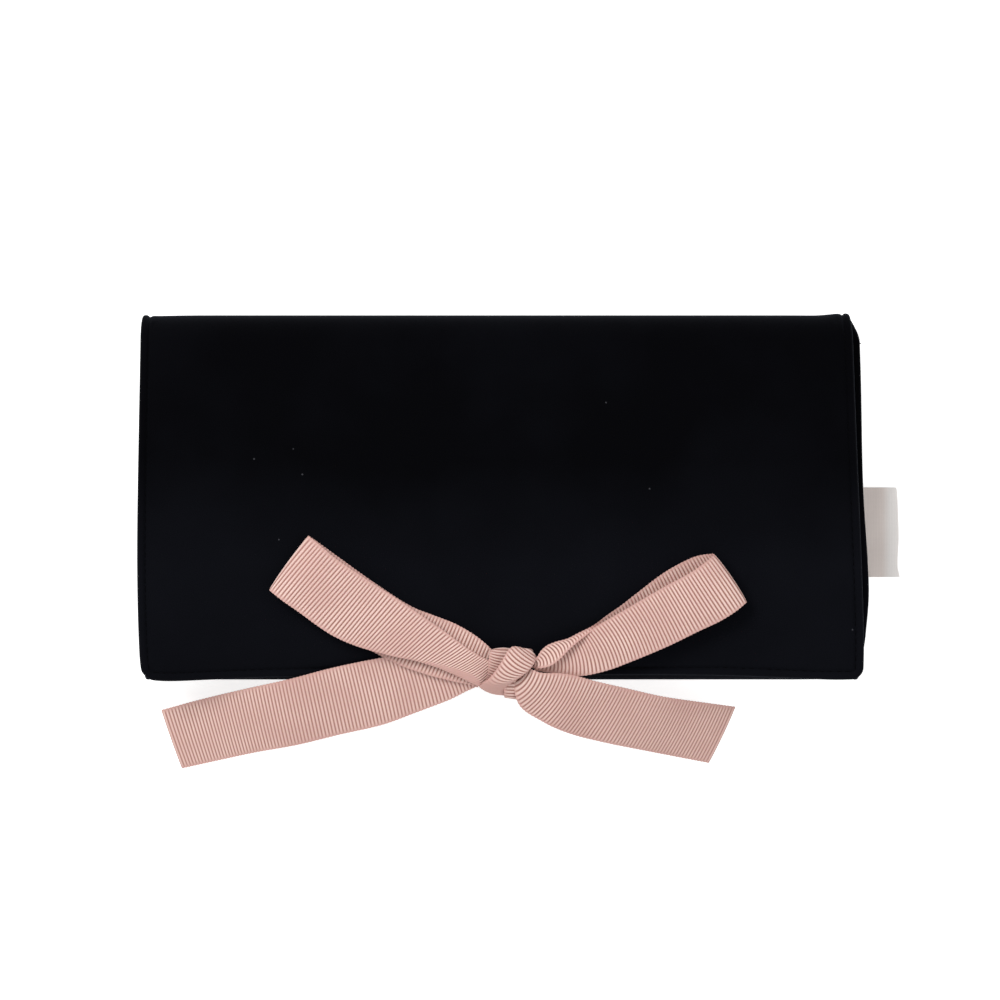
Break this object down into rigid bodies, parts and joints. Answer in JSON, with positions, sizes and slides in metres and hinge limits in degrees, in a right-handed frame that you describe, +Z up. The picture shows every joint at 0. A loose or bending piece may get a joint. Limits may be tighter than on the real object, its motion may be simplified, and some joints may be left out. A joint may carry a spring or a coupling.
{
  "type": "jewelry roll",
  "caption": "Padded velvet jewelry roll that folds in three over zip pockets and a padded ring roll, tied closed with a ribbon bow, with a bare woven side label.",
  "frame": {"origin": "centre of the back panel's flat underside, on which the closed roll lies", "axes": "+X along the roll towards the side label, +Y across it towards the top fold, +Z up, away from the table"},
  "size_m": [0.2499, 0.1491, 0.0334],
  "materials": {
    "velvet": "black cotton velvet, short pile",
    "satin": "dusty pink polyester satin",
    "wadding": "polyester wadding",
    "zip_tape": "woven polyester tape",
    "zip_coil": "nylon monofilament coil",
    "rose_brass": "polished, rose gold tone",
    "ribbon": "dusty rose grosgrain",
    "label": "cream woven tape, bare"
  },
  "bodies": {
    "back": {"back_cover": "velvet", "back_wadding": "wadding", "back_lining": "satin", "back_zip_tape": "zip_tape", "back_zip_coil": "zip_coil", "back_zip_stop_left": "rose_brass", "back_zip_stop_right": "rose_brass", "back_pocket_front": "satin", "side_label": "label", "ring_anchor_tab": "satin", "snap_stud": "rose_brass"},
    "top_spine": {"top_spine_cover": "velvet", "top_spine_lining": "satin"},
    "flap": {"flap_cover": "velvet", "flap_wadding": "wadding", "flap_lining": "satin", "flap_zip_tape": "zip_tape", "flap_zip_coil": "zip_coil", "flap_zip_stop_left": "rose_brass", "flap_zip_stop_right": "rose_brass", "flap_pocket_front": "satin", "flap_ribbon_lead": "ribbon", "bow_knot_band": "ribbon", "bow_knot_core": "ribbon"},
    "bottom_spine": {"bottom_spine_cover": "velvet", "bottom_spine_lining": "satin", "back_ribbon_lead": "ribbon"},
    "tuck": {"tuck_cover": "velvet", "tuck_wadding": "wadding", "tuck_lining": "satin", "tuck_zip_tape": "zip_tape", "tuck_zip_coil": "zip_coil", "tuck_zip_stop_left": "rose_brass", "tuck_zip_stop_right": "rose_brass", "tuck_pocket_front": "satin"},
    "ring_roll": {"ring_roll": "satin", "ring_roll_tab": "satin", "snap_socket": "rose_brass", "snap_cap": "rose_brass"},
    "back_slider": {"back_slider": "rose_brass"},
    "back_pull": {"back_pull": "rose_brass"},
    "tuck_slider": {"tuck_slider": "rose_brass"},
    "tuck_pull": {"tuck_pull": "rose_brass"},
    "flap_slider": {"flap_slider": "rose_brass"},
    "flap_pull": {"flap_pull": "rose_brass"},
    "bow_loop_left": {"bow_loop_left": "ribbon"},
    "bow_loop_right": {"bow_loop_right": "ribbon"},
    "bow_tail_left": {"bow_tail_left": "ribbon"},
    "bow_tail_right": {"bow_tail_right": "ribbon"}
  },
  "joints": [
    {"name": "top_spine_fold", "type": "hinge", "parent": "back", "child": "top_spine", "pos_m": [0, 0.05806, 0.00194], "axis": [-1, 0, 0], "range_deg": [0, 87]},
    {"name": "flap_fold", "type": "hinge", "parent": "top_spine", "child": "flap", "pos_m": [0, 0.05806, 0.02397], "axis": [-1, 0, 0], "range_deg": [0, 87]},
    {"name": "bottom_spine_fold", "type": "hinge", "parent": "back", "child": "bottom_spine", "pos_m": [0, -0.05849, 0.00151], "axis": [1, 0, 0], "range_deg": [0, 87]},
    {"name": "tuck_fold", "type": "hinge", "parent": "bottom_spine", "child": "tuck", "pos_m": [0, -0.05849, 0.01709], "axis": [1, 0, 0], "range_deg": [0, 87]},
    {"name": "ring_roll_lift", "type": "hinge", "parent": "back", "child": "ring_roll", "pos_m": [-0.098, 0.03, 0.0093], "axis": [0, -1, 0], "range_deg": [0, 20]},
    {"name": "back_slider_travel", "type": "slide", "parent": "back", "child": "back_slider", "axis": [1, 0, 0], "range_m": [0, 0.182]},
    {"name": "back_pull_swing", "type": "hinge", "parent": "back_slider", "child": "back_pull", "pos_m": [-0.0913, 0.006, 0.0089], "axis": [0, -1, 0], "range_deg": [0, 40]},
    {"name": "tuck_slider_travel", "type": "slide", "parent": "tuck", "child": "tuck_slider", "axis": [1, 0, 0], "range_m": [0, 0.182]},
    {"name": "tuck_pull_swing", "type": "hinge", "parent": "tuck_slider", "child": "tuck_pull", "pos_m": [-0.0913, -0.012, 0.0091], "axis": [0, 1, 0], "range_deg": [0, 8]},
    {"name": "flap_slider_travel", "type": "slide", "parent": "flap", "child": "flap_slider", "axis": [1, 0, 0], "range_m": [0, 0.182]},
    {"name": "flap_pull_swing", "type": "hinge", "parent": "flap_slider", "child": "flap_pull", "pos_m": [-0.0913, 0.014, 0.0162], "axis": [0, 1, 0], "range_deg": [0, 40]},
    {"name": "loop_left_lift", "type": "hinge", "parent": "flap", "child": "bow_loop_left", "pos_m": [-0.0018, -0.0535, 0.03], "axis": [0.44, 0.898, 0], "range_deg": [0, 25]},
    {"name": "loop_right_lift", "type": "hinge", "parent": "flap", "child": "bow_loop_right", "pos_m": [0.0064, -0.06, 0.0292], "axis": [0.3858, -0.9226, 0], "range_deg": [0, 17]},
    {"name": "tail_left_lift", "type": "hinge", "parent": "flap", "child": "bow_tail_left", "pos_m": [-0.0018, -0.0535, 0.0255], "axis": [-0.199, 0.98, 0], "range_deg": [0, 18]},
    {"name": "tail_right_lift", "type": "hinge", "parent": "flap", "child": "bow_tail_right", "pos_m": [0.0064, -0.06, 0.0287], "axis": [-0.2891, -0.9573, 0], "range_deg": [0, 18]}
  ],
  "couplings": [
    {"joint": "top_spine_fold", "follows": "flap_fold", "ratio": 1},
    {"joint": "bottom_spine_fold", "follows": "flap_fold", "ratio": 1},
    {"joint": "tuck_fold", "follows": "flap_fold", "ratio": 1},
    {"joint": "ring_roll_lift", "follows": "flap_fold", "ratio": 0.22},
    {"joint": "tail_left_lift", "follows": "loop_left_lift", "ratio": 0.6},
    {"joint": "tail_right_lift", "follows": "loop_right_lift", "ratio": 1}
  ]
}
